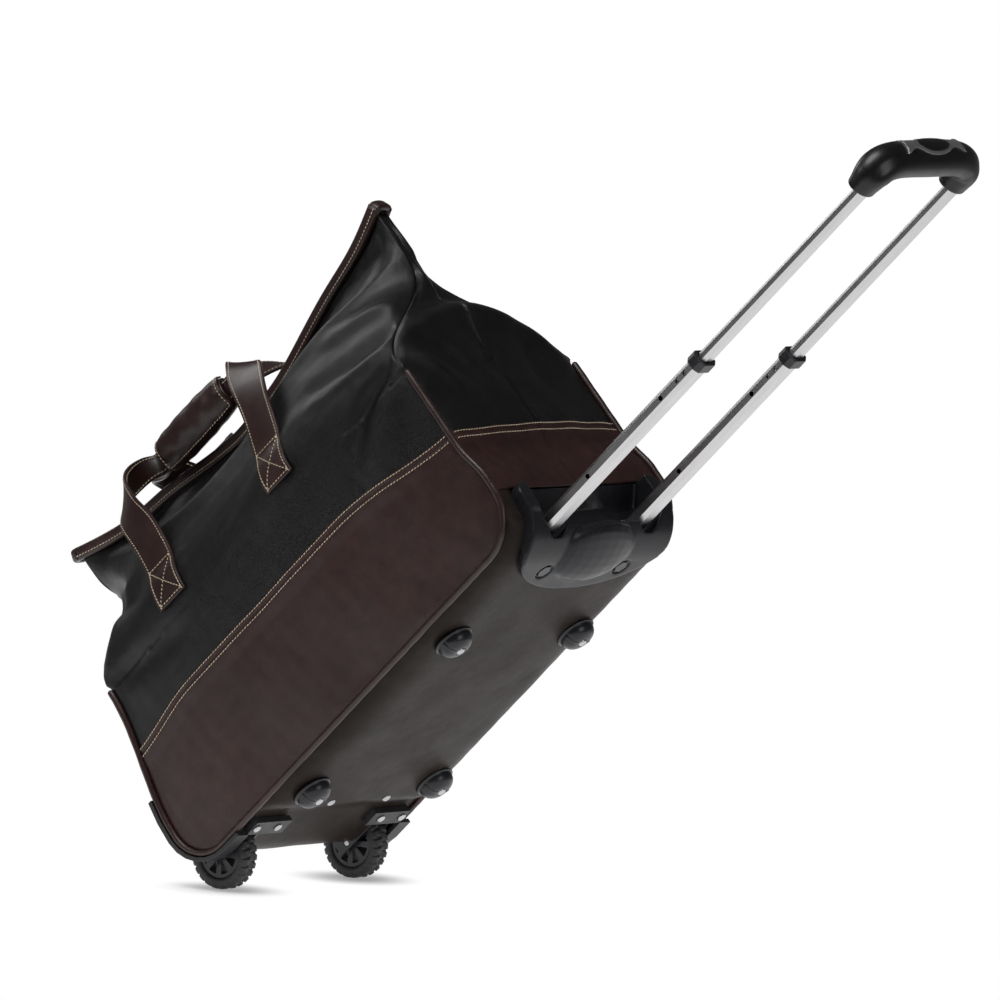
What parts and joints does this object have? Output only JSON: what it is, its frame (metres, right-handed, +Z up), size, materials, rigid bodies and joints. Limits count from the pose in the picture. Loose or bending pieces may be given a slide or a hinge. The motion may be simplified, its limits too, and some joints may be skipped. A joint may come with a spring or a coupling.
{
  "type": "rolling travel bag",
  "caption": "Soft two-tone leather travel bag with wheels, domed feet, a zipped sagging mouth, leather carry handles and a telescopic trolley handle.",
  "frame": {"origin": "middle of the overall box, on the floor that the feet and wheels stand on", "axes": "+X from the wheels towards the trolley grip, -Y the front side panel, +Z up to the zipped mouth"},
  "size_m": [1.1164, 0.2982, 0.4553],
  "materials": {
    "black_leather": "pebbled, semi-matt",
    "brown_leather": "fine grain, satin",
    "base_leather": "smooth, satin",
    "brown_trim": "smooth, satin, stitched edges",
    "black_plastic": "satin moulded",
    "rubber": "matt",
    "tyre": "matt, chunky tread",
    "board": "raw fibre board",
    "zip_tape": "woven",
    "polished": "polished drawn tube",
    "satin_silver": "satin",
    "steel": "brushed",
    "galvanised": "dull zinc"
  },
  "bodies": {
    "bag": {"front_panel_lower": "brown_leather", "front_panel_upper": "black_leather", "back_panel_lower": "brown_leather", "back_panel_upper": "black_leather", "handle_end_lower": "brown_leather", "handle_end_upper": "black_leather", "wheel_end_lower": "brown_leather", "wheel_end_upper": "black_leather", "base_panel": "base_leather", "base_board": "board", "front_piping": "brown_trim", "back_piping": "brown_trim", "front_rim": "brown_trim", "front_zip_tape": "zip_tape", "back_rim": "brown_trim", "back_zip_tape": "zip_tape", "foot_front_handle": "black_plastic", "foot_rivet_front_handle": "steel", "foot_front_wheel": "black_plastic", "foot_rivet_front_wheel": "steel", "foot_back_handle": "black_plastic", "foot_rivet_back_handle": "steel", "foot_back_wheel": "black_plastic", "foot_rivet_back_wheel": "steel", "axle_front": "steel", "wheel_housing_front": "black_plastic", "wheel_guard_front": "rubber", "guard_rivet_front_1": "steel", "guard_rivet_front_2": "steel", "axle_back": "steel", "wheel_housing_back": "black_plastic", "wheel_guard_back": "rubber", "guard_rivet_back_1": "steel", "guard_rivet_back_2": "steel", "handle_cup": "black_plastic", "cup_bolt_front": "black_plastic", "fixed_tube_front": "galvanised", "cup_bolt_back": "black_plastic", "fixed_tube_back": "galvanised", "front_strap": "brown_trim", "back_strap": "brown_trim"},
    "wheel_front": {"tyre_front": "tyre", "hub_front": "black_plastic"},
    "wheel_back": {"tyre_back": "tyre", "hub_back": "black_plastic"},
    "trolley_middle": {"middle_tube_front": "polished", "middle_tube_back": "polished", "collar_front": "black_plastic", "collar_back": "black_plastic"},
    "trolley_grip": {"inner_tube_front": "polished", "inner_tube_back": "polished", "grip": "black_plastic", "button_surround": "satin_silver"},
    "push_button": {"grip_button": "black_plastic"},
    "pin_front": {"lock_pin_front": "steel"},
    "pin_back": {"lock_pin_back": "steel"},
    "slider": {"zip_slider": "satin_silver"},
    "pull": {"zip_pull": "satin_silver"},
    "carry_grip": {"wrap_grip": "brown_trim"},
    "carry_flap": {"wrap_flap": "brown_trim"}
  },
  "joints": [
    {"name": "wheel_spin_front", "type": "hinge", "parent": "bag", "child": "wheel_front", "pos_m": [-0.52222, -0.107, 0.036], "axis": [0, 1, 0], "continuous": true},
    {"name": "wheel_spin_back", "type": "hinge", "parent": "bag", "child": "wheel_back", "pos_m": [-0.52222, 0.107, 0.036], "axis": [0, 1, 0], "continuous": true},
    {"name": "trolley_lower_stage", "type": "slide", "parent": "bag", "child": "trolley_middle", "axis": [1, 0, 0], "range_m": [-0.25, 0]},
    {"name": "trolley_upper_stage", "type": "slide", "parent": "trolley_middle", "child": "trolley_grip", "axis": [1, 0, 0], "range_m": [-0.24, 0]},
    {"name": "button_press", "type": "slide", "parent": "trolley_grip", "child": "push_button", "axis": [-0.9781, 0, -0.2079], "range_m": [0, 0.004], "stiffness_N_per_m": 400, "springref_m": -0.002},
    {"name": "lock_pin_front_slide", "type": "slide", "parent": "trolley_grip", "child": "pin_front", "axis": [0, 1, 0], "range_m": [0, 0.0035]},
    {"name": "lock_pin_back_slide", "type": "slide", "parent": "trolley_grip", "child": "pin_back", "axis": [0, 1, 0], "range_m": [0, 0.0035]},
    {"name": "zip_run", "type": "hinge", "parent": "bag", "child": "slider", "pos_m": [-0.29223, 0, 1.085], "axis": [0, 1, 0], "range_deg": [-23, 16.5]},
    {"name": "zip_pull_swing", "type": "hinge", "parent": "slider", "child": "pull", "pos_m": [-0.30915, 0, 0.39841], "axis": [0, 1, 0], "range_deg": [0, 150]},
    {"name": "carry_grip_lift", "type": "slide", "parent": "bag", "child": "carry_grip", "axis": [0, 0, 1], "range_m": [0, 0.02], "deforming": ["front_strap", "back_strap"]},
    {"name": "wrap_flap_open", "type": "hinge", "parent": "carry_grip", "child": "carry_flap", "pos_m": [-0.31922, -0.0173, 0.4462], "axis": [-1, 0, 0], "range_deg": [0, 120]}
  ],
  "couplings": [
    {"joint": "lock_pin_front_slide", "follows": "button_press", "ratio": 0.875},
    {"joint": "lock_pin_back_slide", "follows": "button_press", "ratio": 0.875}
  ]
}
